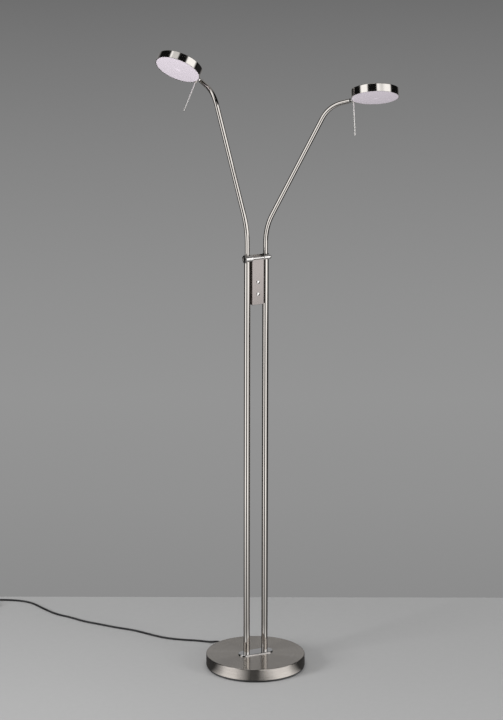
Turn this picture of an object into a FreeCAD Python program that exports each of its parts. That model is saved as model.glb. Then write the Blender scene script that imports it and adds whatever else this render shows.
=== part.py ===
import FreeCAD, Part
import math
import os

from FreeCAD import Placement, Rotation, Vector

# A floor lamp with two reading arms. Millimetres and degrees, +Z up.
# The origin is the middle of the round base, on the floor. +X runs from the left pole to the
# right pole, and -Y is the side with the two dimmer buttons.

# ---------------------------------------------------------------- driving dimensions

# Round base
base_diameter = 250.0
base_height = 35.0            # floor to the flat top of the cover
base_gap = 6.0                # dark gap under the rim of the cover
cover_wall = 1.2
cover_edge_radius = 2.0
weight_thickness = 18.0
weight_clearance = 0.4        # weight to cover, radially
weight_chamfer = 1.5
weight_nick_depth = 12.0      # for the lead's boot
tray_diameter = 246.0
tray_floor = 2.5
tray_wall = 3.0
felt_diameter = 244.0
felt_thickness = 1.5
tray_screw_circle = 190.0     # diameter
tray_screw_count = 4
tray_screw_diameter = 4.0
tray_screw_length = 20.0
tray_boss_diameter = 11.0
tray_screw_sink = 2.0         # height of the countersunk heads

# Driver in the tray, in front of the pole nuts
driver_size = (84.0, 40.0, 9.5)
driver_setback = 62.0
driver_corner = 3.0

# Foot plate under the poles
foot_plate_length = 93.0
foot_plate_width = 34.0
foot_plate_thickness = 3.0
foot_plate_edge = 0.8

# Poles
pole_spacing = 50.0
pole_diameter = 16.0
pole_wall = 1.2
pole_top = 1073.0
insert_length = 22.0
nipple_diameter = 10.0
nipple_bore = 6.5
nipple_engagement = 18.0
nipple_tail = 1.0             # below the nut
nut_across_flats = 17.0
nut_height = 7.0
washer_diameter = 22.0
washer_thickness = 2.0
hole_clearance = 0.2          # radially, round the nipples

# Arms: a vertical shank, a bend outwards, a straight, and a bend over towards the head
arm_diameter = 12.0
arm_wall = 1.0
shank_depth = 66.0            # inside the pole
shank_rise = 32.0             # above the pole, before the first bend
first_bend_radius = 155.0
first_bend_angle = 27.0
arm_straight = 281.0
second_bend_radius = 80.0
arm_end_rise = 17.0           # of the arm's end above the horizontal
arm_end_straight = 20.0
arm_azimuth = {"left": 96.0, "right": -44.5}
arm_side = {"left": -1, "right": 1}

# Swivel bushes in the pole tops, with a slot for the stop pin
bush_flange = 2.5
bush_clearance = 0.06
bush_ledge = 2.0
bush_ledge_bore = 9.0
stop_pin_diameter = 3.0
stop_pin_height = 12.0        # above the shank's end
stop_pin_grip = 0.5           # into the tube's bore
stop_pin_gap = 0.3            # to the pole's wall
stop_slot_clearance = 0.3
arm_sweep = 160.0
sweep_start = {"left": 90.0, "right": -90.0}

# Head joint: a fork that turns in the arm's end, a hinge pin and a knuckle with a spigot
fork_length = 8.0             # arm end to hinge pin
fork_base = 2.6
fork_shank_length = 12.0
fork_clearance = 0.05
ear_radius = 5.2
ear_reach = 5.3               # from the middle to the outside of an ear
tongue_thickness = 4.0
tongue_radius = 4.4
tongue_clearance = 0.15
hinge_pin_diameter = 4.0
hinge_pin_clearance = 0.05
hinge_head_diameter = 6.0
hinge_head_thickness = 0.7
spigot_diameter = 5.0
spigot_clearance = 0.05
flange_diameter = 9.0
flange_thickness = 1.0
flange_gap = 0.4              # ear to flange
seat_gap = 0.2                # flange to lug, and fork to arm end
clip_thickness = 0.8
clip_diameter = 8.0
spigot_tail = 0.4             # beyond the clip

# Round heads
head_diameter = 117.0
head_height = 20.0
head_wall = 1.8
head_back = 2.0
head_edge_radius = 1.5
joint_height = 9.0            # hinge pin above the plane of the diffuser's edge
lug_length = 5.7
lug_diameter = 9.5
diffuser_thickness = 2.2
diffuser_crown = 1.6
diffuser_clearance = 0.3
reflector_wall = 1.0
reflector_top_diameter = 100.0
reflector_mouth_diameter = 108.0
board_diameter = 104.0
board_thickness = 1.6
led_size = (5.0, 5.0, 0.8)
led_rings = ((12, 22.0), (20, 38.0))   # count and radius of each ring
board_screw_count = 3
board_screw_circle = 60.0
board_screw_diameter = 3.0
board_screw_head = 1.4

# Aim of each head, as the lamp stands: the lean of the light's axis from straight down, the
# compass direction of that lean, and the direction from the hinge pin to the head's middle
head_aim = {"left": (41.6, -147.0, 174.1), "right": (27.7, -111.0, -62.5)}

# Handle rods beside the head joints, in small bosses on the rim
rod_diameter = 4.0
rod_reach = 82.4              # below the plane of the diffuser's edge
rod_circle = 61.6             # radius about the head's middle
rod_swing = 6.4               # round the head from the spigot
rod_grip = 4.5                # of rod inside its boss
rod_tip_diameter = 5.0
rod_tip_length = 6.0
rod_boss_diameter = 6.8
rod_boss_rise = 0.6           # boss above the rim's lower edge

# Dimmer housing between the poles: a black body with a metal plate on its front
housing_width = 31.4
housing_front = 10.0          # face of the plate in front of the pole axes
housing_drop = 2.0            # top of the housing below the pole tops
housing_height = 121.0
housing_wall = 1.5
housing_head = 15.0           # solid block that takes the clamp
housing_edge_radius = 0.4
face_thickness = 1.2
face_edge_radius = 0.8
face_gap = 0.3                # plate to clamp bar
cover_plate_thickness = 1.5
cover_plate_clearance = 0.15
button_drops = {"upper": 63.5, "lower": 94.0}   # below the top of the housing
button_diameter = 9.0
button_clearance = 0.25
button_proud = 2.2
button_dome = 1.4
button_travel = 1.0
button_flange = 1.2
button_play = 0.1             # flange to the front wall
button_flange_diameter = 12.0
button_stem_diameter = 3.5
button_slack = 0.2            # stem to switch beyond the travel
switch_size = (6.2, 3.0, 6.2)
circuit_thickness = 1.6
circuit_side_gap = 1.7        # board to the side walls
circuit_end_gap = 6.25        # board to the ends of the hollow
circuit_gap = 6.3             # front wall to board
circuit_post_diameter = 5.0
circuit_post_insets = (8.0, 12.0)   # from the board's lower and upper ends
choke_size = (14.0, 4.0, 12.0)
choke_rise = 22.0             # above the board's lower end
capacitors = ((-6.0, 8.0, 5.0), (6.0, 6.0, 4.5))   # place along X, diameter, height
capacitor_inset = 15.0        # below the board's upper end
solder_depth = 0.2            # components into the board
cover_screw_diameter = 2.5
cover_screw_head = 1.2
cover_land_width = 7.0
cover_land_gap = 0.3          # board to land

# Clamp across the pole tops: a turned bar in front, a strap behind and two screws
clamp_drop = 2.0              # bar axis below the top of the housing
clamp_forward = 10.2          # bar axis in front of the pole axes
bar_diameter = 7.0
bar_chamfer = 0.7
bar_left_diameter = 14.7
bar_left_length = 19.4
bar_right_diameter = 11.3
bar_right_length = 19.6
saddle_clearance = 0.1
strap_width = 68.0
strap_height = 12.0
strap_thickness = 3.0
strap_chamfer = 0.6
clamp_screw_spacing = 18.0
clamp_screw_diameter = 3.0
clamp_screw_head = 5.6
clamp_screw_head_height = 1.8
clamp_screw_drop = 1.8        # below the bar axis
clamp_screw_socket = 1.2      # depth of the hexagon's drilled start
knob_diameter = 20.5
knob_thickness = 3.2
knob_edge = 0.6
knob_flutes = 20
knob_flute_diameter = 1.6
knob_dish = 0.6
knob_dish_rim = 12.7          # diameter where the dish starts
knob_dish_floor = 10.7
knob_stud_diameter = 4.0
knob_stud_length = 7.0
knob_clearance = 0.05
knob_gap = 0.2

# Lead: round, black, leaving the back of the base
cord_diameter = 5.0
cord_exit_azimuth = 97.0
cord_exit_height = 11.5
boot_length = 30.0
boot_root_diameter = 12.0
boot_tip_diameter = 7.6
boot_flange_diameter = 17.0
boot_flange_thickness = 0.8
boot_flange_gap = 0.9         # flange to the cover's curved inside
boot_clearance = 0.2
boot_collar = 2.0             # straight part outside the cover
boot_wall = 0.6               # left round the lead at the bottom of a groove
boot_grooves = 5
boot_groove_width = 1.3
gate_margin = 1.0             # round the boot's flange
coil_turn_gap = 0.6           # between neighbouring turns
coil_inner_radius = 22.5
coil_turns_per_layer = 3
coil_tail = 18.0
coil_exit_tail = 36.0         # carries the lead clear of the lower layer
coil_centre = (-463.0, 717.5)
coil_start_turn = 68.0        # compass direction from the coil's middle to where the lead joins it
tie_thickness = 0.8
tie_width = 10.0
tie_slack = 0.2
tie_azimuth = 320.0
floor_clearance = 0.05
cord_last_run = 32.0          # in line with the coil's straight start

# Plug
plug_length = 38.0
plug_thickness = 15.0
plug_drop_run = 24.0          # length over which the lead comes down to the plug
plug_width = 36.0
plug_nose = 14.0
plug_boot_length = 18.0
plug_boot_diameter = 10.0
plug_boot_wall = 0.8          # round the lead at the boot's thin end
plug_shoulder = 2.0           # grip beyond the boot
plug_edge_radius = 2.0
pin_diameter = 4.8
pin_length = 19.0
pin_spacing = 19.0

# ---------------------------------------------------------------- derived sizes

base_radius = base_diameter / 2
foot_plate_top = base_height + foot_plate_thickness
first_bend_start = pole_top + shank_rise
cover_ceiling = base_height - cover_wall
weight_radius = base_radius - cover_wall - weight_clearance
weight_bottom = cover_ceiling - weight_thickness
tray_bottom = felt_thickness
tray_inside = tray_bottom + tray_floor
nut_top = weight_bottom - washer_thickness
pole_radius = pole_diameter / 2
pole_bore = pole_radius - pole_wall
pole_x = pole_spacing / 2
arm_radius = arm_diameter / 2
arm_bore = arm_radius - arm_wall
shank_bottom = pole_top - shank_depth
bush_bottom = shank_bottom - bush_ledge
head_radius = head_diameter / 2
flange_start = ear_radius + flange_gap
lug_start = flange_start + flange_thickness + seat_gap
hinge_to_head = lug_start + lug_length + head_radius
housing_back = pole_radius
housing_top = pole_top - housing_drop
housing_bottom = housing_top - housing_height
housing_face = -housing_front + face_thickness      # where the plate lies on the body
hollow_front = housing_face + housing_wall
hollow_bottom = housing_bottom + housing_wall
hollow_top = housing_top - housing_head
circuit_front = hollow_front + circuit_gap
circuit_back = circuit_front + circuit_thickness
circuit_bottom = hollow_bottom + circuit_end_gap
circuit_top = hollow_top - circuit_end_gap
switch_face = circuit_front - switch_size[1]
button_heights = {name: housing_top - drop for name, drop in button_drops.items()}
clamp_height = housing_top - clamp_drop
clamp_screw_level = clamp_height - clamp_screw_drop
bar_left_end = housing_width / 2 + bar_left_length
bar_right_end = housing_width / 2 + bar_right_length
cord_radius = cord_diameter / 2
coil_pitch = cord_diameter + coil_turn_gap
coil_low = tie_thickness + cord_radius
coil_high = coil_low + coil_pitch


# ---------------------------------------------------------------- shape helpers

def unit(v):
    return v * (1.0 / v.Length)


def polar(radius, azimuth, z=0.0):
    a = math.radians(azimuth)
    return Vector(radius * math.cos(a), radius * math.sin(a), z)


def rod(radius, start, end):
    """A round bar from start to end."""
    return Part.makeCylinder(radius, (end - start).Length, start, end - start)


def pipe(outer, inner, start, end):
    overshoot = unit(end - start)
    return rod(outer, start, end).cut(rod(inner, start - overshoot, end + overshoot))


def block(x0, x1, y0, y1, z0, z1):
    return Part.makeBox(x1 - x0, y1 - y0, z1 - z0, Vector(x0, y0, z0))


def spun(points, centre=Vector(0, 0, 0)):
    """A solid of revolution about Z. Points are (radius, height); a 3-tuple is passed on an arc."""
    edges = []
    via = None
    last = first = Vector(points[0][0], 0, points[0][1])
    for point in list(points[1:]) + [points[0][:2]]:
        here = Vector(point[0], 0, point[1])
        if len(point) == 3:
            via = here
            continue
        if via is not None:
            edges.append(Part.Arc(last, via, here).toShape())
            via = None
        elif (here - last).Length > 1e-7:
            edges.append(Part.LineSegment(last, here).toShape())
        last = here
    face = Part.Face(Part.Wire(edges))
    solid = face.revolve(Vector(0, 0, 0), Vector(0, 0, 1), 360)
    solid.translate(centre)
    return solid


def dome(radius, level, rise):
    """Arc of a ball from the rim at radius to the axis, rise above (or below) the rim's level."""
    ball = (radius ** 2 + rise ** 2) / (2 * abs(rise))
    sag = ball - math.sqrt(ball ** 2 - radius ** 2 / 4)
    return [(radius, level), (radius / 2, level + math.copysign(abs(rise) - sag, rise), 0), (0, level + rise)]


def stadium(length, width, z0, z1):
    """An oval bar with round ends, long in X."""
    half = (length - width) / 2
    r = width / 2
    outline = Part.Wire([
        Part.LineSegment(Vector(-half, -r, z0), Vector(half, -r, z0)).toShape(),
        Part.Arc(Vector(half, -r, z0), Vector(half + r, 0, z0), Vector(half, r, z0)).toShape(),
        Part.LineSegment(Vector(half, r, z0), Vector(-half, r, z0)).toShape(),
        Part.Arc(Vector(-half, r, z0), Vector(-half - r, 0, z0), Vector(-half, -r, z0)).toShape(),
    ])
    return Part.Face(outline).extrude(Vector(0, 0, z1 - z0))


def edges_at(shape, test):
    return [e for e in shape.Edges if test(e.BoundBox)]


def join(first, *others):
    return first.multiFuse(list(others)).removeSplitter()


def write(node, shape):
    """Checks a sub-part and writes it under its own name."""
    solids = shape.Solids
    if not solids or not all(s.isValid() and s.Volume > 0 for s in solids):
        raise ValueError(f"{node} is not a sound solid")
    shape = solids[0] if len(solids) == 1 else Part.makeCompound(solids)
    shape.exportStep(os.path.join("parts", f"{node}.step"))


# ---------------------------------------------------------------- base

def base_cover():
    """Spun steel cover: flat top, rolled edge, straight rim."""
    r, e, w = base_radius, cover_edge_radius, cover_wall
    bend = math.cos(math.radians(45))
    inner = max(e - w, 0.2)
    cover = spun([
        (0, base_height), (r - e, base_height),
        (r - e + e * bend, base_height - e + e * bend, 0), (r, base_height - e),
        (r, base_gap), (r - w, base_gap), (r - w, base_height - w - inner),
        (r - w - inner + inner * bend, base_height - w - inner + inner * bend, 0),
        (r - w - inner, base_height - w), (0, base_height - w),
    ])
    holes = nipple_holes(cover_ceiling - 1, base_height + 1)
    exit_hole = rod(boot_root_diameter / 2 + boot_clearance,
                    polar(r - 3 * w - e, cord_exit_azimuth, cord_exit_height),
                    polar(r + 1, cord_exit_azimuth, cord_exit_height))
    return cover.cut(holes).cut(exit_hole)


def nipple_holes(z0, z1):
    r = nipple_diameter / 2 + hole_clearance
    return Part.makeCompound([
        Part.makeCylinder(r, z1 - z0, Vector(side * pole_x, 0, z0)) for side in (-1, 1)])


def base_weight():
    """Cast iron disc that fills the upper part of the cover."""
    disc = Part.makeCylinder(weight_radius, weight_thickness, Vector(0, 0, weight_bottom))
    disc = disc.makeChamfer(weight_chamfer, edges_at(disc, lambda b: b.ZLength < 0.01))
    screws = [Part.makeCylinder(tray_screw_diameter / 2, tray_screw_length, p)
              for p in tray_screw_places(tray_bottom)]
    half = boot_flange_diameter / 2 + gate_margin
    nick = block(weight_radius - weight_nick_depth, weight_radius + 1, -half, half, weight_bottom - 1,
                 cord_exit_height + half)
    nick.rotate(Vector(0, 0, 0), Vector(0, 0, 1), cord_exit_azimuth)
    disc = disc.cut(nipple_holes(weight_bottom - 1, cover_ceiling + 1))
    return disc.cut(Part.makeCompound(screws)).cut(nick)


def tray_screw_places(z):
    step = 360.0 / tray_screw_count
    return [polar(tray_screw_circle / 2, 45.0 + k * step, z) for k in range(tray_screw_count)]


def base_tray():
    """Black moulded tray under the weight, with screw bosses and a gate for the lead."""
    r = tray_diameter / 2
    floor = Part.makeCylinder(r, tray_floor, Vector(0, 0, tray_bottom))
    wall = pipe(r, r - tray_wall, Vector(0, 0, tray_bottom), Vector(0, 0, weight_bottom))
    bosses = [rod(tray_boss_diameter / 2, p, Vector(p.x, p.y, weight_bottom))
              for p in tray_screw_places(tray_bottom)]
    tray = join(floor, wall, *bosses)
    half = boot_flange_diameter / 2 + gate_margin
    gate = block(r - 3 * tray_wall, r + 1, -half, half, cord_exit_height - half, weight_bottom + 1)
    gate.rotate(Vector(0, 0, 0), Vector(0, 0, 1), cord_exit_azimuth)
    drills = [Part.makeCylinder(tray_screw_diameter / 2, weight_bottom, p)
              for p in tray_screw_places(tray_bottom - 1)]
    sinks = [Part.makeCone(tray_screw_diameter, tray_screw_diameter / 2, tray_screw_sink, p)
             for p in tray_screw_places(tray_bottom)]
    return tray.cut(gate).cut(Part.makeCompound(drills)).cut(Part.makeCompound(sinks))


def base_screws():
    """Countersunk screws from the tray into the weight."""
    screws = []
    for p in tray_screw_places(tray_bottom):
        cone = Part.makeCone(tray_screw_diameter, tray_screw_diameter / 2, tray_screw_sink, p)
        shank = Part.makeCylinder(tray_screw_diameter / 2, tray_screw_length, p)
        screws.append(join(cone, shank))
    return Part.makeCompound(screws)


def base_felt():
    return Part.makeCylinder(felt_diameter / 2, felt_thickness)


def led_driver():
    """Sealed driver with rounded ends, held down on the tray's floor."""
    length, depth, height = driver_size
    case = block(-length / 2, length / 2, -driver_setback - depth / 2, -driver_setback + depth / 2,
                 tray_inside, tray_inside + height)
    upright = edges_at(case, lambda b: b.ZLength > height - 0.01 and b.XLength < 0.01)
    return case.makeFillet(driver_corner, upright)


def foot_plate():
    """Polished oval plate with a small bevel round its top."""
    plate = stadium(foot_plate_length, foot_plate_width, base_height, foot_plate_top)
    rim = edges_at(plate, lambda b: b.ZMin > foot_plate_top - 0.01)
    plate = plate.makeChamfer(foot_plate_edge, rim)
    return plate.cut(nipple_holes(base_height - 1, foot_plate_top + 1))


# ---------------------------------------------------------------- poles

def pole(side):
    x = arm_side[side] * pole_x
    return pipe(pole_radius, pole_bore, Vector(x, 0, foot_plate_top), Vector(x, 0, pole_top))


def pole_inserts():
    """Threaded plugs in the feet of the poles."""
    return Part.makeCompound([
        pipe(pole_bore, nipple_diameter / 2, Vector(s * pole_x, 0, foot_plate_top),
             Vector(s * pole_x, 0, foot_plate_top + insert_length)) for s in (-1, 1)])


def pole_nipples():
    """Hollow threaded nipples that hold the poles to the weight and let the wires through."""
    bottom = nut_top - nut_height - nipple_tail
    return Part.makeCompound([
        pipe(nipple_diameter / 2, nipple_bore / 2, Vector(s * pole_x, 0, bottom),
             Vector(s * pole_x, 0, foot_plate_top + nipple_engagement)) for s in (-1, 1)])


def pole_washers():
    return Part.makeCompound([
        pipe(washer_diameter / 2, nipple_diameter / 2, Vector(s * pole_x, 0, nut_top),
             Vector(s * pole_x, 0, weight_bottom)) for s in (-1, 1)])


def pole_nuts():
    """Hexagon nuts under the weight."""
    corner = nut_across_flats / 2 / math.cos(math.radians(30))
    nuts = []
    for s in (-1, 1):
        points = [polar(corner, 60.0 * k) + Vector(s * pole_x, 0, nut_top - nut_height) for k in range(7)]
        prism = Part.Face(Part.makePolygon(points)).extrude(Vector(0, 0, nut_height))
        axis = Vector(s * pole_x, 0, nut_top - nut_height - 1)
        nuts.append(prism.cut(Part.makeCylinder(nipple_diameter / 2, nut_height + 2, axis)))
    return Part.makeCompound(nuts)


def arm_bush(side):
    """Swivel bush: flange on the pole, ledge under the arm and a slot for the stop pin."""
    x = arm_side[side] * pole_x
    bore = arm_radius + bush_clearance
    sleeve = rod(pole_bore, Vector(x, 0, bush_bottom), Vector(x, 0, pole_top))
    flange = rod(pole_radius, Vector(x, 0, pole_top), Vector(x, 0, pole_top + bush_flange))
    bush = join(sleeve, flange)
    bush = bush.cut(rod(bore, Vector(x, 0, shank_bottom), Vector(x, 0, pole_top + bush_flange + 1)))
    bush = bush.cut(rod(bush_ledge_bore / 2, Vector(x, 0, bush_bottom - 1), Vector(x, 0, shank_bottom + 1)))
    # The slot is as wide as the arm's sweep and the pin.
    half_pin = math.degrees(math.asin((stop_pin_diameter / 2 + stop_slot_clearance) / bore))
    start = sweep_start[side] - half_pin
    height = stop_pin_diameter + 2 * stop_slot_clearance
    slot = Part.makeCylinder(pole_bore + 1, height, Vector(0, 0, 0), Vector(0, 0, 1),
                             arm_sweep + 2 * half_pin)
    slot.rotate(Vector(0, 0, 0), Vector(0, 0, 1), start)
    slot.translate(Vector(x, 0, shank_bottom + stop_pin_height - height / 2))
    return bush.cut(slot)


# ---------------------------------------------------------------- arms

def arm_outline():
    """The arm's centre line in its own plane: u outwards from the pole axis, z up."""
    tilt = math.radians(first_bend_angle)
    level = math.radians(90.0 - arm_end_rise)
    along = Vector(math.sin(tilt), 0, math.cos(tilt))
    foot = Vector(0, 0, first_bend_start)
    middle = Vector(first_bend_radius, 0, first_bend_start)
    bend = [middle + first_bend_radius * Vector(-math.cos(a), 0, math.sin(a)) for a in (tilt / 2, tilt)]
    corner = bend[1] + arm_straight * along
    hub = corner + second_bend_radius * Vector(math.cos(tilt), 0, -math.sin(tilt))
    over = [hub + second_bend_radius * Vector(-math.cos(a), 0, math.sin(a))
            for a in ((tilt + level) / 2, level)]
    end = over[1] + arm_end_straight * Vector(math.sin(level), 0, math.cos(level))
    return foot, bend, corner, over, end


def arm_direction(side):
    rise = math.radians(arm_end_rise)
    flat = polar(math.cos(rise), arm_azimuth[side])
    return flat + Vector(0, 0, math.sin(rise))


def arm_end(side):
    """The middle of the arm's end face."""
    end = arm_outline()[4]
    return polar(end.x, arm_azimuth[side], end.z) + Vector(arm_side[side] * pole_x, 0, 0)


def arm_sweep_solid(radius):
    foot, bend, corner, over, end = arm_outline()
    start = Vector(0, 0, shank_bottom)
    path = Part.Wire([
        Part.LineSegment(start, foot).toShape(),
        Part.Arc(foot, bend[0], bend[1]).toShape(),
        Part.LineSegment(bend[1], corner).toShape(),
        Part.Arc(corner, over[0], over[1]).toShape(),
        Part.LineSegment(over[1], end).toShape(),
    ])
    ring = Part.Wire([Part.makeCircle(radius, start, Vector(0, 0, 1))])
    return path.makePipeShell([ring], True, False)


def arm_tube(side):
    """Bent tube, drilled for its stop pin."""
    tube = arm_sweep_solid(arm_radius).cut(arm_sweep_solid(arm_bore))
    height = shank_bottom + stop_pin_height
    drill = rod(stop_pin_diameter / 2, Vector(0, 0, height), Vector(arm_radius + 1, 0, height))
    tube = tube.cut(drill)
    tube.rotate(Vector(0, 0, 0), Vector(0, 0, 1), arm_azimuth[side])
    tube.translate(Vector(arm_side[side] * pole_x, 0, 0))
    return tube


def stop_pin(side):
    """Short pin through the shank's wall. It runs in the bush's slot."""
    height = shank_bottom + stop_pin_height
    pin = rod(stop_pin_diameter / 2, Vector(arm_bore - stop_pin_grip, 0, height),
              Vector(pole_bore - stop_pin_gap, 0, height))
    pin.rotate(Vector(0, 0, 0), Vector(0, 0, 1), arm_azimuth[side])
    pin.translate(Vector(arm_side[side] * pole_x, 0, 0))
    return pin


# ---------------------------------------------------------------- head joints

def aim(side):
    """Unit vectors of a head: its light's axis, and from the hinge pin to its middle."""
    lean, lean_way, reach_way = head_aim[side]
    light = polar(math.sin(math.radians(lean)), lean_way, -math.cos(math.radians(lean)))
    flat = polar(1.0, reach_way)
    reach = unit(flat + Vector(0, 0, -flat.dot(light) / light.z))
    return light, reach


def hinge_point(side):
    return arm_end(side) + fork_length * arm_direction(side)


def hinge_axis(side):
    return unit(arm_direction(side).cross(aim(side)[1]))


def placed(shape, origin, x_axis, z_axis):
    """Puts a shape modelled about the origin into the lamp."""
    turn = Rotation(x_axis, z_axis.cross(x_axis), z_axis, "ZXY")
    shape = shape.copy()
    shape.Placement = Placement(origin, turn).multiply(shape.Placement)
    return shape


def fork(side):
    """Fork: X along the arm's end, Z along the hinge pin, origin at the pin."""
    base_start = -fork_length + seat_gap
    slot_floor = -fork_length + seat_gap + fork_base
    barrel = rod(arm_radius, Vector(base_start, 0, 0), Vector(ear_radius, 0, 0))
    cheeks = block(slot_floor, 0, -ear_radius, ear_radius, -ear_reach, ear_reach)
    rounds = Part.makeCylinder(ear_radius, 2 * ear_reach, Vector(0, 0, -ear_reach))
    base = rod(arm_radius, Vector(base_start, 0, 0), Vector(slot_floor, 0, 0))
    ears = barrel.common(join(cheeks, rounds))
    shank = rod(arm_bore - fork_clearance, Vector(base_start - fork_shank_length, 0, 0),
                Vector(base_start + fork_base / 2, 0, 0))
    body = join(base, ears, shank)
    half = tongue_thickness / 2 + tongue_clearance
    slot = block(slot_floor, ear_radius + 1, -arm_radius, arm_radius, -half, half)
    hole = Part.makeCylinder(hinge_pin_diameter / 2, 4 * ear_reach, Vector(0, 0, -2 * ear_reach))
    body = body.cut(slot).cut(hole)
    return placed(body, hinge_point(side), arm_direction(side), hinge_axis(side))


def hinge_pin(side):
    """Riveted pin through the fork's ears."""
    shank = Part.makeCylinder(hinge_pin_diameter / 2, 2 * ear_reach, Vector(0, 0, -ear_reach))
    head = spun([(0, ear_reach)] + dome(hinge_head_diameter / 2, ear_reach, hinge_head_thickness))
    other = head.copy()
    other.rotate(Vector(0, 0, 0), Vector(1, 0, 0), 180)
    pin = join(shank, head, other)
    return placed(pin, hinge_point(side), arm_direction(side), hinge_axis(side))


def knuckle(side):
    """Flat tongue on the hinge pin, with a round spigot that the head turns on."""
    half = tongue_thickness / 2
    eye = Part.makeCylinder(tongue_radius, tongue_thickness, Vector(0, 0, -half))
    wide = tongue_radius * 0.8
    neck = block(0, flange_start + flange_thickness / 2, -wide, wide, -half, half)
    flange = rod(flange_diameter / 2, Vector(flange_start, 0, 0),
                 Vector(flange_start + flange_thickness, 0, 0))
    spigot = rod(spigot_diameter / 2, Vector(flange_start, 0, 0), Vector(spigot_end(), 0, 0))
    body = join(eye, neck, flange, spigot)
    hole = Part.makeCylinder(hinge_pin_diameter / 2 + hinge_pin_clearance, tongue_thickness + 2,
                             Vector(0, 0, -half - 1))
    return placed(body.cut(hole), hinge_point(side), aim(side)[1], hinge_axis(side))


def clip_start():
    """The clip lies just inside the head's wall."""
    return lug_start + lug_length + head_wall + seat_gap


def spigot_end():
    return clip_start() + clip_thickness + spigot_tail


def spigot_clip(side):
    """Retaining ring on the spigot, inside the head."""
    start = clip_start()
    ring = pipe(clip_diameter / 2, spigot_diameter / 2, Vector(start, 0, 0),
                Vector(start + clip_thickness, 0, 0))
    return placed(ring, hinge_point(side), aim(side)[1], hinge_axis(side))


# ---------------------------------------------------------------- heads
# Modelled with X from the hinge pin to the head's middle and Z out of its back.

def head_placed(shape, side):
    light, reach = aim(side)
    return placed(shape, hinge_point(side), reach, light * -1.0)


def head_levels():
    """Heights of the rim's lower edge and of the back, from the hinge pin."""
    return -joint_height, head_height - joint_height


def head_housing(side):
    """Turned cup with a polished rim, a lug for the spigot and a small boss for the rod."""
    low, high = head_levels()
    r, e = head_radius, head_edge_radius
    bend = math.cos(math.radians(45))
    centre = Vector(hinge_to_head, 0, 0)
    cup = spun([
        (0, high), (r - e, high), (r - e + e * bend, high - e + e * bend, 0), (r, high - e),
        (r, low), (r - head_wall, low), (r - head_wall, high - head_back), (0, high - head_back),
    ], centre)
    wall_inside = lug_start + lug_length + head_wall
    lug = rod(lug_diameter / 2, Vector(lug_start, 0, 0), Vector(wall_inside, 0, 0))
    foot = rod_place(low + rod_boss_rise)
    boss = rod(rod_boss_diameter / 2, foot, rod_place(0))
    mask = Part.makeCylinder(r - head_wall, 2 * head_height, Vector(hinge_to_head, 0, low - head_height / 2))
    body = join(cup, lug.cut(mask), boss.cut(mask))
    bore = rod(spigot_diameter / 2 + spigot_clearance, Vector(lug_start - 1, 0, 0),
               Vector(wall_inside + 2, 0, 0))
    socket = rod(rod_diameter / 2, foot - Vector(0, 0, 1), foot + Vector(0, 0, rod_grip))
    return head_placed(body.cut(bore).cut(socket), side)


def rod_place(z):
    """A point on the rod's axis."""
    return Vector(hinge_to_head, 0, 0) + polar(rod_circle, 180.0 + rod_swing, z)


def handle_rod(side):
    """Steel rod with a slightly thicker tip."""
    low = head_levels()[0]
    bottom = low - rod_reach
    shank = rod(rod_diameter / 2, rod_place(bottom + 1), rod_place(low + rod_boss_rise + rod_grip))
    r = rod_tip_diameter / 2
    tip = spun([(0, bottom), (r * 0.5, bottom), (r * 0.87, bottom + 0.3, 0), (r, bottom + 1.2),
                (r, bottom + rod_tip_length), (rod_diameter / 2, bottom + rod_tip_length + 0.8),
                (0, bottom + rod_tip_length + 0.8)], rod_place(0))
    return head_placed(join(shank, tip), side)


def diffuser(side):
    """Opal disc, crowned outwards a little."""
    low = head_levels()[0]
    r = head_radius - head_wall - diffuser_clearance
    top = low + diffuser_thickness
    outside = dome(r, low, -diffuser_crown)
    inside = dome(r, top, -diffuser_crown)
    body = spun(inside + outside[::-1], Vector(hinge_to_head, 0, 0))
    return head_placed(body, side)


def reflector(side):
    """White cone between the board and the diffuser, with a flange that carries the diffuser."""
    low, high = head_levels()
    foot = low + diffuser_thickness
    top = high - head_back - board_thickness
    t = reflector_wall
    inner, outer = reflector_top_diameter / 2, reflector_mouth_diameter / 2
    edge = head_radius - head_wall - diffuser_clearance
    body = spun([(inner - t, top), (inner, top), (outer, foot + t), (edge, foot + t), (edge, foot),
                 (outer - t, foot)], Vector(hinge_to_head, 0, 0))
    return head_placed(body, side)


def board_screw_spots(z):
    step = 360.0 / board_screw_count
    centre = Vector(hinge_to_head, 0, 0)
    return [centre + polar(board_screw_circle / 2, 30.0 + k * step, z) for k in range(board_screw_count)]


def led_board(side):
    """Round board with two rings of LEDs facing the diffuser."""
    high = head_levels()[1] - head_back
    low = high - board_thickness
    disc = Part.makeCylinder(board_diameter / 2, board_thickness, Vector(hinge_to_head, 0, low))
    length, width, height = led_size
    leds = []
    for count, radius in led_rings:
        for k in range(count):
            chip = block(radius - length / 2, radius + length / 2, -width / 2, width / 2,
                         low - height, low)
            chip.rotate(Vector(0, 0, 0), Vector(0, 0, 1), (k + 0.5) * 360.0 / count)
            chip.translate(Vector(hinge_to_head, 0, 0))
            leds.append(chip)
    drills = [Part.makeCylinder(board_screw_diameter / 2, board_thickness + 2, p)
              for p in board_screw_spots(low - 1)]
    return head_placed(join(disc, *leds).cut(Part.makeCompound(drills)), side)


def board_screws(side):
    """Pan-head screws that hold the board to the head's back."""
    low = head_levels()[1] - head_back - board_thickness
    screws = []
    for p in board_screw_spots(low):
        head = Part.makeCylinder(board_screw_diameter, board_screw_head,
                                 p - Vector(0, 0, board_screw_head))
        shank = Part.makeCylinder(board_screw_diameter / 2, board_thickness, p)
        screws.append(join(head, shank))
    return head_placed(Part.makeCompound(screws), side)


# ---------------------------------------------------------------- dimmer housing

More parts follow.
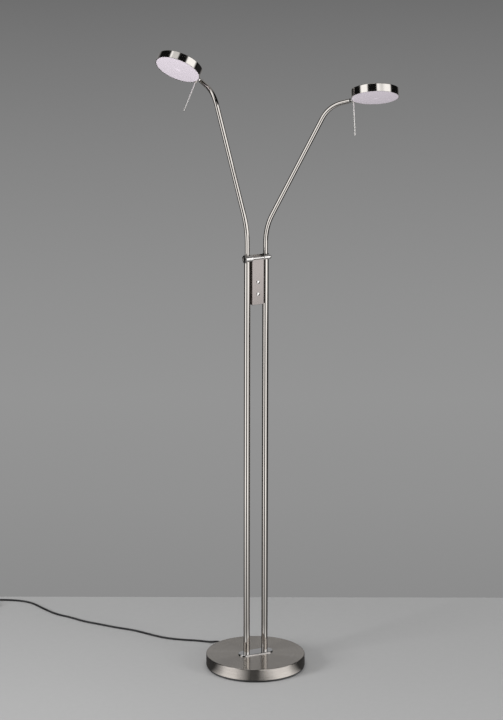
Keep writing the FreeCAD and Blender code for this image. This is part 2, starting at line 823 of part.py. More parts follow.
def button_holes():
    """Holes for the two buttons, through the plate and the front wall."""
    return Part.makeCompound([
        rod(button_diameter / 2 + button_clearance, Vector(0, -housing_front - 1, z),
            Vector(0, hollow_front + 1, z)) for z in button_heights.values()])


def dimmer_face():
    """Brushed plate on the front of the housing, up to the clamp bar."""
    half = housing_width / 2
    plate = block(-half, half, -housing_front, housing_face, housing_bottom,
                  clamp_height - bar_diameter / 2 - face_gap)
    front = edges_at(plate, lambda b: b.YMax < -housing_front + 0.01)
    return plate.makeFillet(face_edge_radius, front).cut(button_holes())


def dimmer_housing():
    """Black body, open at the back, solid at the top where the clamp holds it."""
    half = housing_width / 2
    w = housing_wall
    body = block(-half, half, housing_face, housing_back, housing_bottom, housing_top)
    front = edges_at(body, lambda b: b.YMax < housing_face + 0.01)
    body = body.makeFillet(housing_edge_radius, front)
    body = body.cut(block(-half + w, half - w, hollow_front, housing_back + 1, hollow_bottom, hollow_top))
    posts = [rod(circuit_post_diameter / 2, Vector(0, hollow_front - w / 2, z), Vector(0, circuit_front, z))
             for z in circuit_post_heights()]
    lands = [block(-cover_land_width / 2, cover_land_width / 2, circuit_back,
                   housing_back - cover_plate_thickness, low, high) for low, high in cover_land_spans()]
    body = join(body, *posts, *lands).cut(button_holes())
    groove = rod(bar_diameter / 2, clamp_point(-half - 1), clamp_point(half + 1))
    drills = [rod(clamp_screw_diameter / 2, Vector(x, -clamp_forward, clamp_screw_level),
                  Vector(x, housing_back + 1, clamp_screw_level)) for x in clamp_screw_places()]
    pilots = [rod(cover_screw_diameter / 2, Vector(0, circuit_back - 1, z), Vector(0, housing_back + 1, z))
              for z in cover_screw_heights()]
    return body.cut(Part.makeCompound([groove] + drills + pilots))


def circuit_post_heights():
    below, above = circuit_post_insets
    return circuit_bottom + below, circuit_top - above


def cover_land_spans():
    """Blocks at the ends of the hollow that take the cover's screws."""
    return ((hollow_bottom - housing_wall / 2, circuit_bottom - cover_land_gap),
            (circuit_top + cover_land_gap, hollow_top + housing_wall / 2))


def cover_screw_heights():
    return [(low + high) / 2 for low, high in cover_land_spans()]


def dimmer_cover():
    """Flat plate that closes the back of the housing."""
    half = housing_width / 2 - housing_wall - cover_plate_clearance
    inside = housing_back - cover_plate_thickness
    plate = block(-half, half, inside, housing_back,
                  hollow_bottom + cover_plate_clearance, hollow_top - cover_plate_clearance)
    for z in cover_screw_heights():
        plate = plate.cut(rod(cover_screw_diameter / 2, Vector(0, inside - 1, z),
                              Vector(0, housing_back + 1, z)))
    return plate


def cover_screws():
    screws = []
    for z in cover_screw_heights():
        face = Vector(0, housing_back, z)
        head = rod(cover_screw_diameter, face, face + Vector(0, cover_screw_head, 0))
        shank = rod(cover_screw_diameter / 2, Vector(0, circuit_back, z), face)
        screws.append(join(head, shank))
    return Part.makeCompound(screws)


def dimmer_circuit():
    """Circuit board with two push switches in front, and a choke and two capacitors behind."""
    half = housing_width / 2 - housing_wall - circuit_side_gap
    board = block(-half, half, circuit_front, circuit_back, circuit_bottom, circuit_top)
    width, _, height = switch_size
    parts = [block(-width / 2, width / 2, switch_face, circuit_front, z - height / 2, z + height / 2)
             for z in button_heights.values()]
    seat = circuit_back - solder_depth
    for x, diameter, tall in capacitors:
        foot = Vector(x, seat, circuit_top - capacitor_inset)
        parts.append(rod(diameter / 2, foot, foot + Vector(0, solder_depth + tall, 0)))
    width, depth, height = choke_size
    foot = circuit_bottom + choke_rise
    parts.append(block(-width / 2, width / 2, seat, circuit_back + depth, foot, foot + height))
    return join(board, *parts)


def button(name):
    """Domed cap, a flange behind the front wall and a stem over its switch."""
    r = button_diameter / 2
    flange_r, stem_r = button_flange_diameter / 2, button_stem_diameter / 2
    # Spun about the button's axis, with height 0 at the face of the plate.
    flange_top = -(face_thickness + housing_wall + button_play)
    flange_bottom = flange_top - button_flange
    stem_end = -housing_front - switch_face + button_travel + button_slack
    body = spun(dome(r, button_proud - button_dome, button_dome)[::-1] + [
        (r, flange_top), (flange_r, flange_top), (flange_r, flange_bottom), (stem_r, flange_bottom),
        (stem_r, stem_end), (0, stem_end),
    ])
    body.rotate(Vector(0, 0, 0), Vector(1, 0, 0), 90)
    body.translate(Vector(0, -housing_front, button_heights[name]))
    return body


# ---------------------------------------------------------------- clamp

def clamp_screw_places():
    return -clamp_screw_spacing / 2, clamp_screw_spacing / 2


def clamp_point(x):
    return Vector(x, -clamp_forward, clamp_height)


def clamp_bar():
    """Turned bar: a thick left end, a thin middle on the housing and a domed right end."""
    half = housing_width / 2
    left = rod(bar_left_diameter / 2, clamp_point(-bar_left_end), clamp_point(-half))
    left = left.makeChamfer(bar_chamfer, edges_at(left, lambda b: b.XLength < 0.01))
    middle = rod(bar_diameter / 2, clamp_point(-half - 1), clamp_point(half + 1))
    r = bar_right_diameter / 2
    right = spun([(0, 0), (r, 0)] + dome(r, bar_right_length - r, r))
    right.rotate(Vector(0, 0, 0), Vector(0, 1, 0), 90)
    right.translate(clamp_point(half))
    bar = join(left, middle, right)
    for s in (-1, 1):
        foot = Vector(s * pole_x, 0, clamp_height - bar_left_diameter)
        bar = bar.cut(Part.makeCylinder(pole_radius + saddle_clearance, 2 * bar_left_diameter, foot))
    socket = rod(knob_stud_diameter / 2 + knob_clearance, clamp_point(-bar_left_end - 1),
                 clamp_point(-bar_left_end + knob_stud_length + 1))
    threads = [rod(clamp_screw_diameter / 2, Vector(x, -clamp_forward, clamp_screw_level),
                   Vector(x, 0, clamp_screw_level)) for x in clamp_screw_places()]
    return bar.cut(Part.makeCompound([socket] + threads))


def clamp_knob():
    """Thumb screw with a fluted rim and a dished face."""
    r = knob_diameter / 2
    t = knob_thickness
    e = knob_edge
    disc = spun([(0, 0), (r - e, 0), (r, e), (r, t - e), (r - e, t), (knob_dish_rim / 2, t),
                 (knob_dish_floor / 2, t - knob_dish), (0, t - knob_dish)])
    step = 360.0 / knob_flutes
    flutes = [Part.makeCylinder(knob_flute_diameter / 2, t + 2, polar(r + knob_flute_diameter / 6, k * step, -1))
              for k in range(knob_flutes)]
    disc = disc.cut(Part.makeCompound(flutes))
    stud = Part.makeCylinder(knob_stud_diameter / 2, knob_stud_length + knob_gap,
                             Vector(0, 0, -knob_stud_length - knob_gap))
    knob = join(disc, stud)
    knob.rotate(Vector(0, 0, 0), Vector(0, 1, 0), -90)
    knob.translate(clamp_point(-bar_left_end - knob_gap))
    return knob


def clamp_strap():
    """Strap across the backs of the poles."""
    strap = stadium(strap_width, strap_height, 0, strap_thickness)
    back = pole_radius + strap_thickness
    strap.rotate(Vector(0, 0, 0), Vector(1, 0, 0), 90)
    strap.translate(Vector(0, back, clamp_screw_level))
    strap = strap.makeChamfer(strap_chamfer, edges_at(strap, lambda b: b.YMin > back - 0.01))
    holes = [rod(clamp_screw_diameter / 2, Vector(x, 0, clamp_screw_level),
                 Vector(x, back + 1, clamp_screw_level)) for x in clamp_screw_places()]
    return strap.cut(Part.makeCompound(holes))


def clamp_screws():
    screws = []
    for x in clamp_screw_places():
        tip = Vector(x, -clamp_forward, clamp_screw_level)
        seat = Vector(x, pole_radius + strap_thickness, clamp_screw_level)
        top = seat + Vector(0, clamp_screw_head_height, 0)
        screw = join(rod(clamp_screw_head / 2, seat, top), rod(clamp_screw_diameter / 2, tip, seat))
        socket = rod(clamp_screw_diameter / 3, top - Vector(0, clamp_screw_socket, 0), top + Vector(0, 1, 0))
        screws.append(screw.cut(socket))
    return Part.makeCompound(screws)


# ---------------------------------------------------------------- lead

def exit_way():
    return polar(1.0, cord_exit_azimuth)


def boot_tip():
    """Where the lead leaves its boot."""
    return polar(base_radius + boot_length, cord_exit_azimuth, cord_exit_height)


def strain_relief():
    """Tapered, ribbed boot with a flange inside the cover."""
    outside = base_radius - cover_wall - boot_flange_gap
    inside = outside - boot_flange_thickness
    flange_r, root_r, tip_r = boot_flange_diameter / 2, boot_root_diameter / 2, boot_tip_diameter / 2
    taper = spun([
        (0, inside), (flange_r, inside), (flange_r, outside), (root_r, outside),
        (root_r, base_radius + boot_collar), (tip_r, base_radius + boot_length),
        (0, base_radius + boot_length),
    ])
    step = (boot_length - boot_collar) / (boot_grooves + 1)
    grooves = []
    for k in range(boot_grooves):
        foot = Vector(0, 0, base_radius + boot_collar + (k + 1) * step - boot_groove_width / 2)
        grooves.append(pipe(boot_root_diameter, cord_radius + boot_wall, foot,
                            foot + Vector(0, 0, boot_groove_width)))
    taper = taper.cut(Part.makeCompound(grooves))
    turn = Rotation(Vector(0, 0, 1), exit_way())
    taper.Placement = Placement(Vector(0, 0, cord_exit_height), turn).multiply(taper.Placement)
    return taper


def coil_entry():
    """First point of the coil and the way the lead runs there, flat on the floor."""
    outer = coil_inner_radius + coil_pitch * coil_turns_per_layer
    centre = Vector(coil_centre[0], coil_centre[1], coil_low)
    spot = centre + polar(outer, coil_start_turn)
    return spot, polar(1.0, coil_start_turn + 90.0)


def cord_route():
    """The free stretch, from the boot to the coil, chosen by hand from the photograph."""
    tip = boot_tip()
    floor = cord_radius + floor_clearance
    start, way = coil_entry()
    lead_in = start - coil_tail * way
    bends = [(-31, 198), (-58, 224), (-92, 247), (-124, 275), (-150, 317), (-174, 366), (-208, 404),
             (-238, 447), (-268, 487), (-286, 530), (-311, 567), (-325, 625), (-334, 680), (-362, 714)]
    return ([tip, tip + 20.0 * exit_way()] + [Vector(x, y, floor) for x, y in bends]
            + [lead_in - cord_last_run * way, lead_in])


def rounded_path(points):
    """Straight runs joined by tangent arcs, each as large as its two runs allow."""
    edges = []
    radii = []
    last = points[0]
    for before, corner, after in zip(points, points[1:], points[2:]):
        a, b = unit(corner - before), unit(after - corner)
        turn = a.getAngle(b)
        cut = 0.45 * min((corner - before).Length, (after - corner).Length)
        radii.append(cut / math.tan(turn / 2))
        begin, end = corner - a * cut, corner + b * cut
        inward = unit(b - a)
        centre_gap = radii[-1] / math.cos(turn / 2)
        middle = corner + inward * (centre_gap - radii[-1])
        edges.append(Part.LineSegment(last, begin).toShape())
        edges.append(Part.Arc(begin, middle, end).toShape())
        last = end
    edges.append(Part.LineSegment(last, points[-1]).toShape())
    return Part.Wire(edges), radii


def cord_tube():
    """The free stretch as a plain round tube."""
    points = cord_route()
    path, radii = rounded_path(points)
    ring = Part.Wire([Part.makeCircle(cord_radius, points[0], points[1] - points[0])])
    tube = path.makePipeShell([ring], True, False)
    expected = math.pi * cord_radius ** 2 * path.Length
    print("cord radii", " ".join(f"{r:.0f}" for r in radii))
    print(f"cord tube {path.Length:.1f} mm long, volume {tube.Volume:.0f} of {expected:.0f} mm3")
    return tube, path.Length


def arc_from(start, way, end):
    """The arc from start, leaving along way, to end."""
    chord = end - start
    along = unit(chord)
    side = way - along * way.dot(along)
    if side.Length < 1e-9:
        return Part.LineSegment(start, end).toShape(), way
    half = way.getAngle(along) / 2
    middle = start + chord * 0.5 + unit(side) * (chord.Length / 2 * math.tan(half))
    leaving = along * (2 * way.dot(along)) - way
    return Part.Arc(start, middle, end).toShape(), leaving


def biarc(start, start_way, end, end_way):
    """Two arcs that meet smoothly, for half a turn that may also climb."""
    gap = end - start
    reach = gap.Length / 2
    joint = (start + end + (start_way - end_way) * reach) * 0.5
    first, way = arc_from(start, start_way, joint)
    return [first, arc_from(joint, way, end)[0]]


def coil_points():
    """Every half turn of the coil: inwards on the floor, up a layer, and outwards again."""
    low = Vector(coil_centre[0], coil_centre[1], coil_low)
    across = polar(1.0, coil_start_turn)
    ahead = polar(1.0, coil_start_turn + 90.0)
    outer = coil_inner_radius + coil_pitch * coil_turns_per_layer
    halves = 2 * coil_turns_per_layer
    places = []
    for k in range(halves + 1):
        radius = outer - k * coil_pitch / 2
        places.append((low + across * (radius if k % 2 == 0 else -radius), k % 2 == 0))
    up = Vector(0, 0, coil_high - coil_low)
    for k in range(1, halves + 1):
        radius = coil_inner_radius + (k - 1 if k > 1 else -1) * coil_pitch / 2
        places.append((low + up + across * (-radius if k % 2 else radius), k % 2 == 0))
    return [(spot, ahead if near else ahead * -1.0) for spot, near in places]


def coil_path():
    places = coil_points()
    start, way = places[0]
    end, end_way = places[-1]
    edges = [Part.LineSegment(start - way * coil_tail, start).toShape()]
    for (a, a_way), (b, b_way) in zip(places, places[1:]):
        edges += biarc(a, a_way, b, b_way)
    clear = end + end_way * coil_exit_tail
    dropped = clear + end_way * plug_drop_run + Vector(0, 0, plug_thickness / 2 - coil_high)
    finish = dropped + end_way * cord_diameter
    edges.append(Part.LineSegment(end, clear).toShape())
    edges += biarc(clear, end_way, dropped, end_way)
    edges.append(Part.LineSegment(dropped, finish).toShape())
    return Part.Wire(edges), finish, end_way


def least_gap(path):
    """Least space between the coil's turns, measured on points along its middle line."""
    step = cord_diameter / 4
    count = int(path.Length / step)
    spots = path.discretize(Number=count)
    skip = int(math.pi * coil_inner_radius / step)
    gap = min((spots[i] - spots[j]).Length for i in range(count) for j in range(i + skip, count))
    return gap - cord_diameter


def cord_coil():
    """The length put away: one tube wound in two layers."""
    path, end, way = coil_path()
    start = path.OrderedVertexes[0].Point
    ring = Part.Wire([Part.makeCircle(cord_radius, start, coil_points()[0][1])])
    tube = path.makePipeShell([ring], True, False)
    print(f"coil {path.Length:.1f} mm long, volume {tube.Volume:.0f} of "
          f"{math.pi * cord_radius ** 2 * path.Length:.0f} mm3, least gap {least_gap(path):.2f} mm")
    return tube, path.Length


def coil_tie():
    """Flat band round the coil's turns."""
    inner = coil_inner_radius - coil_pitch / 2 - cord_radius
    outer = coil_inner_radius + coil_pitch * coil_turns_per_layer + cord_radius
    t, slack = tie_thickness, tie_slack
    band = block(inner - slack - t, outer + slack + t, -tie_width / 2, tie_width / 2, 0,
                 coil_high + cord_radius + slack + t)
    band = band.cut(block(inner - slack, outer + slack, -tie_width, tie_width, t,
                          coil_high + cord_radius + slack))
    band.rotate(Vector(0, 0, 0), Vector(0, 0, 1), tie_azimuth)
    band.translate(Vector(coil_centre[0], coil_centre[1], 0))
    return band


def plug_frame():
    """The lead's end, the way it points, and the plug's own directions."""
    _, end, way = coil_path()
    return end, way


def plug_body():
    """Moulded plug on its side: X along the lead, Z up, origin where the lead enters."""
    end, way = plug_frame()
    half = end.z
    boot = Part.makeCone(cord_radius + plug_boot_wall, plug_boot_diameter / 2, plug_boot_length,
                         Vector(0, 0, 0), Vector(1, 0, 0))
    x0, x1 = plug_boot_length, plug_boot_length + plug_length
    neck = plug_boot_diameter / 2 + plug_shoulder
    w = plug_width / 2
    outline = Part.Wire([
        Part.LineSegment(Vector(x0, -neck, -half), Vector(x0 + plug_nose, -w, -half)).toShape(),
        Part.LineSegment(Vector(x0 + plug_nose, -w, -half), Vector(x1, -w, -half)).toShape(),
        Part.LineSegment(Vector(x1, -w, -half), Vector(x1, w, -half)).toShape(),
        Part.LineSegment(Vector(x1, w, -half), Vector(x0 + plug_nose, w, -half)).toShape(),
        Part.LineSegment(Vector(x0 + plug_nose, w, -half), Vector(x0, neck, -half)).toShape(),
        Part.LineSegment(Vector(x0, neck, -half), Vector(x0, -neck, -half)).toShape(),
    ])
    grip = Part.Face(outline).extrude(Vector(0, 0, 2 * half))
    slanted = edges_at(grip, lambda b: b.XLength > 1 and b.YLength > 1 and b.ZLength < 0.01)
    grip = grip.makeFillet(plug_edge_radius, slanted)
    body = join(boot, grip)
    return placed(body, end, way, Vector(0, 0, 1))


def plug_pins():
    end, way = plug_frame()
    face = plug_boot_length + plug_length
    pins = []
    for s in (-1, 1):
        r = pin_diameter / 2
        pin = spun([(0, 0), (r, 0)] + dome(r, pin_length - r, r))
        pin.rotate(Vector(0, 0, 0), Vector(0, 1, 0), 90)
        pin.translate(Vector(face, s * pin_spacing / 2, 0))
        pins.append(pin)
    return placed(Part.makeCompound(pins), end, way, Vector(0, 0, 1))


# ---------------------------------------------------------------- the whole lamp

def main():
    os.makedirs("parts", exist_ok=True)
    write("base_cover", base_cover())
    write("base_weight", base_weight())
    write("base_tray", base_tray())
    write("base_screws", base_screws())
    write("base_felt", base_felt())
    write("led_driver", led_driver())
    write("foot_plate", foot_plate())
    write("pole_inserts", pole_inserts())
    write("pole_nipples", pole_nipples())
    write("pole_washers", pole_washers())
    write("pole_nuts", pole_nuts())
    for side in ("left", "right"):
        write(f"pole_{side}", pole(side))
        write(f"arm_bush_{side}", arm_bush(side))
        write(f"arm_tube_{side}", arm_tube(side))
        write(f"stop_pin_{side}", stop_pin(side))
        write(f"fork_{side}", fork(side))
        write(f"hinge_pin_{side}", hinge_pin(side))
        write(f"knuckle_{side}", knuckle(side))
        write(f"spigot_clip_{side}", spigot_clip(side))
        write(f"head_housing_{side}", head_housing(side))
        write(f"handle_rod_{side}", handle_rod(side))
        write(f"diffuser_{side}", diffuser(side))
        write(f"reflector_{side}", reflector(side))
        write(f"led_board_{side}", led_board(side))
        write(f"board_screws_{side}", board_screws(side))
    write("dimmer_housing", dimmer_housing())
    write("dimmer_face", dimmer_face())
    write("dimmer_cover", dimmer_cover())
    write("cover_screws", cover_screws())
    write("dimmer_circuit", dimmer_circuit())
    for name in button_heights:
        write(f"button_{name}", button(name))
    write("clamp_bar", clamp_bar())
    write("clamp_knob", clamp_knob())
    write("clamp_strap", clamp_strap())
    write("clamp_screws", clamp_screws())
    write("strain_relief", strain_relief())
    tube, tube_length = cord_tube()
    write("cord_lead", tube)
    coil, coil_length = cord_coil()
    write("cord_coil", coil)
    print(f"lead {tube_length + coil_length:.0f} mm in all")
    write("coil_tie", coil_tie())
    write("plug_body", plug_body())
    write("plug_pins", plug_pins())
    for side in ("left", "right"):
        light, reach = aim(side)
        print(side, "hinge", hinge_point(side), "arm", arm_direction(side), "hinge axis", hinge_axis(side),
              "reach", reach, "light", light)


main()
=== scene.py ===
import math

import bpy
from mathutils import Matrix, Vector


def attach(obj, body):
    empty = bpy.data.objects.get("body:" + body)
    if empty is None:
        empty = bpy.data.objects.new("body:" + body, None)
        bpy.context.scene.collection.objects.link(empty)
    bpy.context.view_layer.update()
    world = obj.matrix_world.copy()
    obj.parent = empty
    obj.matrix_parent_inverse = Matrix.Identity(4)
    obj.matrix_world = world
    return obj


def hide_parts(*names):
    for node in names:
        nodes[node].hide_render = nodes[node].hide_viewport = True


# The looks of the two-arm floor lamp: camera, cord, materials, floor and lights.
# Everything is in metres in the CAD frame: +Z up, -Y the lamp's front, the poles along X.

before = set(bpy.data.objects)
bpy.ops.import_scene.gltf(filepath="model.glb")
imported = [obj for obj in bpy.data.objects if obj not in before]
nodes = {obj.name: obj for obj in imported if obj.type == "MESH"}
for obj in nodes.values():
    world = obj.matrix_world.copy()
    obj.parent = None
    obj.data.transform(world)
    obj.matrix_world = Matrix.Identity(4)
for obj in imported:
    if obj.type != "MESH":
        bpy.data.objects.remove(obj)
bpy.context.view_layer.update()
scene = bpy.context.scene

SIDES = ("left", "right")
DEG = math.pi / 180


def upward(height):
    return Vector((0, 0, height))


def compass(angle):
    """Level direction at an angle in degrees from +X."""
    return Vector((math.cos(angle * DEG), math.sin(angle * DEG), 0))


# ---------------------------------------------------------------- camera

CAMERA_PLACE = Vector((-3.738, -7.750, 3.205))
CAMERA_WAY = Vector((0.4173, 0.8682, -0.2686))
CAMERA_ROLL = 0.117           # degrees
LENS = 180.0                  # lens and sensor in millimetres
SENSOR = 36.0
CLIP_END = 100.0

FLAT_WAY = Vector((CAMERA_WAY.x, CAMERA_WAY.y, 0)).normalized()      # away from the camera
RIGHT_WAY = Vector((FLAT_WAY.y, -FLAT_WAY.x, 0))                     # to its right


def from_camera(right, away, up):
    """A point given by its distance to the right of, behind and above the lamp's foot."""
    return RIGHT_WAY * right + FLAT_WAY * away + upward(up)


def aimed(name, data, place, way, roll=0.0):
    """A camera or a light at a place, looking along a way."""
    made = bpy.data.objects.new(name, data)
    scene.collection.objects.link(made)
    turn = way.to_track_quat("-Z", "Y").to_matrix().to_4x4()
    made.matrix_world = Matrix.Translation(place) @ turn @ Matrix.Rotation(roll * DEG, 4, "Z")
    return made


def make_camera():
    data = bpy.data.cameras.new("camera")
    data.lens = LENS
    data.sensor_fit = "VERTICAL"
    data.sensor_height = SENSOR
    data.clip_end = CLIP_END
    scene.camera = aimed("camera", data, CAMERA_PLACE, CAMERA_WAY, CAMERA_ROLL)


# ---------------------------------------------------------------- node helpers

class Nodes:
    """A node tree, with short calls for the nodes used here."""

    def __init__(self, tree):
        self.tree = tree

    def put(self, value, socket):
        """Links an output to the socket, or sets a plain value on it."""
        if isinstance(value, bpy.types.NodeSocket):
            self.tree.links.new(value, socket)
        else:
            socket.default_value = value

    def node(self, kind, *values, **settings):
        """A new node with its settings, and with values put on its first inputs."""
        made = self.tree.nodes.new(kind)
        for key, setting in settings.items():
            setattr(made, key, setting)
        for value, socket in zip(values, made.inputs):
            self.put(value, socket)
        return made

    def math(self, operation, first, second=0.0):
        return self.node("ShaderNodeMath", first, second, operation=operation).outputs[0]

    def vector_math(self, operation, *vectors):
        made = self.node("ShaderNodeVectorMath", *vectors, operation=operation)
        return made.outputs["Value" if operation in ("DOT_PRODUCT", "LENGTH") else "Vector"]

    def combine(self, x, y, z):
        return self.node("ShaderNodeCombineXYZ", x, y, z).outputs[0]

    def split(self, vector):
        return self.node("ShaderNodeSeparateXYZ", vector).outputs

    def place(self):
        return self.node("ShaderNodeTexCoord").outputs["Object"]

    def noise(self, vector, scale, detail=2.0, roughness=0.5):
        made = self.node("ShaderNodeTexNoise")
        self.put(vector, made.inputs["Vector"])
        made.inputs["Scale"].default_value = scale
        made.inputs["Detail"].default_value = detail
        made.inputs["Roughness"].default_value = roughness
        return made.outputs["Fac"]

    def remap(self, value, low, high, to_low=0.0, to_high=1.0):
        return self.node("ShaderNodeMapRange", value, low, high, to_low, to_high).outputs["Result"]

    def mix(self, factor, first, second):
        made = self.node("ShaderNodeMix", data_type="RGBA")
        self.put(factor, made.inputs["Factor"])
        self.put(first, made.inputs["A"])
        self.put(second, made.inputs["B"])
        return made.outputs["Result"]

    def ramp(self, value, stops):
        """Grey levels at values from 0 to 1, with straight runs between them."""
        made = self.node("ShaderNodeValToRGB", value)
        elements = made.color_ramp.elements
        while len(elements) < len(stops):
            elements.new(0.5)
        for element, (position, level) in zip(elements, stops):
            element.position = position
            element.color = grey(level)
        return made.outputs["Color"]

    def light(self, kind, colour, strength=1.0):
        """An Emission or Background shader."""
        return self.node(kind, colour, strength).outputs[0]

    def layered(self, shader, layers):
        """The shader, with each layer in turn laid over it by its factor."""
        for factor, layer in layers:
            shader = self.node("ShaderNodeMixShader", factor, shader, layer).outputs[0]
        return shader


class Tree(Nodes):
    """A material with its Principled shader."""

    def __init__(self, name):
        self.material = bpy.data.materials.new(name)
        self.material.use_nodes = True
        super().__init__(self.material.node_tree)
        self.shader = self.tree.nodes["Principled BSDF"]

    def set(self, **values):
        for key, value in values.items():
            self.put(value, self.shader.inputs[key.replace("_", " ")])

    def bump(self, height, strength, distance=0.0002):
        made = self.node("ShaderNodeBump")
        self.put(height, made.inputs["Height"])
        made.inputs["Strength"].default_value = strength
        made.inputs["Distance"].default_value = distance
        self.set(Normal=made.outputs["Normal"])


def rgb(*values):
    return (*values, 1.0)


def grey(level):
    return rgb(level, level, level)


def along_axes(t, origin, axes):
    """Coordinates of the surface in another frame that rides with the piece."""
    moved = t.vector_math("SUBTRACT", t.place(), tuple(origin))
    return [t.vector_math("DOT_PRODUCT", moved, tuple(axis)) for axis in axes]


def polar(t, x, y):
    squares = t.math("ADD", t.math("MULTIPLY", x, x), t.math("MULTIPLY", y, y))
    return t.math("SQRT", squares), t.math("ARCTAN2", y, x)


# ---------------------------------------------------------------- metals

# A metal is given by its colour, a darker one, its roughness, how far that varies to both
# sides, and the strength of its bump.

def blended(t, grain, cloud, share):
    """The grain's share of the tone, with a broader cloud for the rest."""
    return t.math("ADD", t.math("MULTIPLY", grain, share), t.math("MULTIPLY", cloud, 1 - share))


def varied(t, value, roughness, spread):
    return t.remap(value, 0.25, 0.75, roughness - spread, roughness + spread)


def finish_metal(t, grain, tone, colour, dark, roughness, bump):
    """Shared end of every metal: the tone drives its colour, and the grain its bump."""
    tint = t.mix(t.remap(tone, 0.3, 0.7), dark, colour)
    t.set(Metallic=1.0, Base_Color=tint, Roughness=roughness)
    t.bump(grain, bump)
    return t.material


def worn_tone(t, grain):
    """The grain with faint clouds of wear in it."""
    return blended(t, grain, t.noise(t.place(), 23.0, 3.0, 0.6), 0.75)


def grained_metal(t, grain, colour, dark, roughness, spread, bump):
    """Metal whose colour and roughness both follow its worn grain."""
    tone = worn_tone(t, grain)
    return finish_metal(t, grain, tone, colour, dark, varied(t, tone, roughness, spread), bump)


def long_grain(t):
    """Fine grain along Z."""
    x, y, z = t.split(t.place())
    return t.noise(t.combine(x, y, t.math("MULTIPLY", z, 0.02)), 2600.0)


def stretch_gloss(t, turn):
    """Gloss drawn out round Z, or turned from there by a share of a full turn."""
    tangent = t.node("ShaderNodeTangent", direction_type="RADIAL", axis="Z")
    t.set(Anisotropic=1.0, Anisotropic_Rotation=turn, Tangent=tangent.outputs[0])


def drawn_metal(name, *look):
    """Tube with a fine grain along Z."""
    t = Tree(name)
    return grained_metal(t, long_grain(t), *look)


def plain_metal(name, *look, grain_scale=900.0):
    """Cast, turned or plated small part with no direction in its grain."""
    t = Tree(name)
    return grained_metal(t, t.noise(t.place(), grain_scale, 3.0), *look)


def brushed_face():
    """Flat plate brushed from top to bottom: it blurs what it reflects sideways only."""
    t = Tree("brushed_face")
    stretch_gloss(t, 0.0)
    return grained_metal(t, long_grain(t), rgb(0.40, 0.365, 0.35), rgb(0.34, 0.305, 0.295),
                         0.16, 0.02, 0.005)


def head_metal(name, origin, axes, colour, dark, roughness, spread, bump):
    """Lathe-brushed metal: the grain runs round the given third axis, and the back is dull."""
    t = Tree(name)
    x, y, z = along_axes(t, origin, axes)
    radius, angle = polar(t, x, y)
    ring = t.noise(t.combine(radius, t.math("MULTIPLY", angle, 0.0012), z), 1500.0)
    duller = t.remap(radius, *HEAD_EDGE, BACK_DULLNESS, 0.0)
    return finish_metal(t, ring, worn_tone(t, ring), colour, dark,
                        t.math("ADD", varied(t, ring, roughness, spread), duller), bump)


def base_metal():
    """Spun metal with its grain in rings round Z, and broad sweeps in its tone."""
    t = Tree("spun_nickel")
    x, y, z = t.split(t.place())
    radius, angle = polar(t, x, y)
    ring = t.noise(t.combine(radius, t.math("MULTIPLY", angle, 0.002), z), 1100.0, 3.0, 0.6)
    turned = t.combine(t.math("MULTIPLY", radius, 0.3), t.math("MULTIPLY", angle, 0.5), 0.0)
    tone = blended(t, ring, t.noise(turned, 6.0), 0.7)
    stretch_gloss(t, 0.25)
    return finish_metal(t, ring, tone, rgb(0.62, 0.58, 0.54), rgb(0.47, 0.435, 0.40),
                        varied(t, tone, 0.23, 0.03), 0.08)


# ---------------------------------------------------------------- other materials

def moulded(name, colour, paler, roughness, grain_scale=1400.0, bump=0.25):
    """Moulded plastic or rubber with a fine spark-eroded texture and a little dust."""
    t = Tree(name)
    speck = t.noise(t.place(), grain_scale, 3.0, 0.6)
    dust = t.noise(t.place(), 14.0, 3.0)
    t.set(Base_Color=t.mix(t.remap(dust, 0.35, 0.7), colour, paler))
    t.set(Roughness=t.remap(speck, 0.3, 0.7, roughness - 0.06, roughness + 0.06))
    t.bump(speck, bump)
    return t.material


def felt():
    t = Tree("felt")
    fibre = t.noise(t.place(), 2200.0, 5.0, 0.75)
    t.set(Base_Color=t.mix(fibre, rgb(0.012, 0.012, 0.012), rgb(0.05, 0.05, 0.048)))
    t.set(Roughness=0.95)
    t.bump(fibre, 0.8, 0.0006)
    return t.material


def cast_iron():
    t = Tree("cast_iron")
    grain = t.noise(t.place(), 420.0, 5.0, 0.7)
    t.set(Metallic=0.4, Base_Color=t.mix(grain, grey(0.02), rgb(0.07, 0.068, 0.065)))
    t.set(Roughness=t.remap(grain, 0.3, 0.7, 0.55, 0.8))
    t.bump(grain, 0.7, 0.0008)
    return t.material


def opal(name):
    """Milky, faintly violet diffuser."""
    t = Tree(name)
    cloud = t.noise(t.place(), 45.0)
    t.set(Base_Color=t.mix(cloud, rgb(0.74, 0.67, 0.74), rgb(0.77, 0.70, 0.77)))
    t.set(Roughness=t.remap(t.noise(t.place(), 1800.0), 0.3, 0.7, 0.36, 0.42))
    return t.material


def circuit_board(name, colour, paler):
    """Lacquered board with a fine cell pattern."""
    t = Tree(name)
    cells = t.node("ShaderNodeTexVoronoi")
    cells.inputs["Scale"].default_value = 320.0
    t.put(t.place(), cells.inputs["Vector"])
    distance = cells.outputs["Distance"]
    t.set(Base_Color=t.mix(t.remap(distance, 0.1, 0.5), colour, paler))
    t.set(Roughness=t.remap(distance, 0.0, 0.6, 0.3, 0.5))
    t.bump(distance, 0.1)
    return t.material


def cord_jacket():
    """Black round jacket with a slight orange-peel sheen."""
    t = Tree("cord_jacket")
    peel = t.noise(t.place(), 900.0, 3.0)
    dust = t.noise(t.place(), 30.0)
    t.set(Base_Color=t.mix(t.remap(dust, 0.4, 0.8), rgb(0.010, 0.010, 0.011), grey(0.028)))
    t.set(Roughness=t.remap(peel, 0.3, 0.7, 0.40, 0.55))
    t.bump(peel, 0.15)
    return t.material


# ---------------------------------------------------------------- cord

